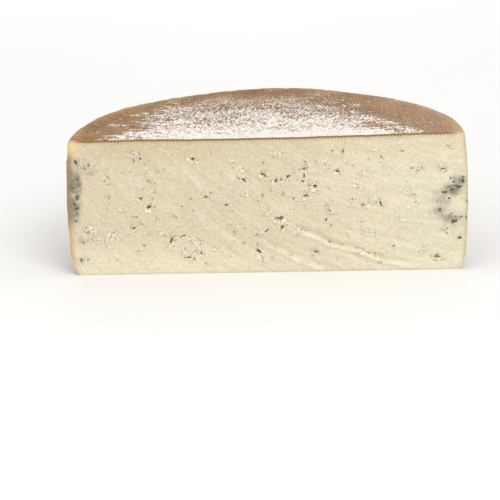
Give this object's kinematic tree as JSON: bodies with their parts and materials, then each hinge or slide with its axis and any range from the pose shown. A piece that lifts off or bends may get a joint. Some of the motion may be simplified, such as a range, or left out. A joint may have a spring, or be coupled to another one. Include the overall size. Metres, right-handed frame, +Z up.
{
  "type": "half cheese wheel",
  "caption": "Half of a pressed cheese wheel with a brown cloth-marked rind, cut through its middle to show a pale paste with small holes.",
  "frame": {"origin": "middle of the underside of the half's bounding box, on the flat base", "axes": "+Z up, through the wheel's thickness; +X along the cut, towards the slightly thicker end; the cut face looks along -Y and the round side is towards +Y"},
  "size_m": [0.3, 0.15, 0.1078],
  "materials": {
    "cheese": "ivory paste with a satin, slightly moist cut; tan-brown natural rind with the marks of its cloth, dull with a pale bloom"
  },
  "bodies": {
    "root": {"half_wheel": "cheese"}
  },
  "joints": []
}
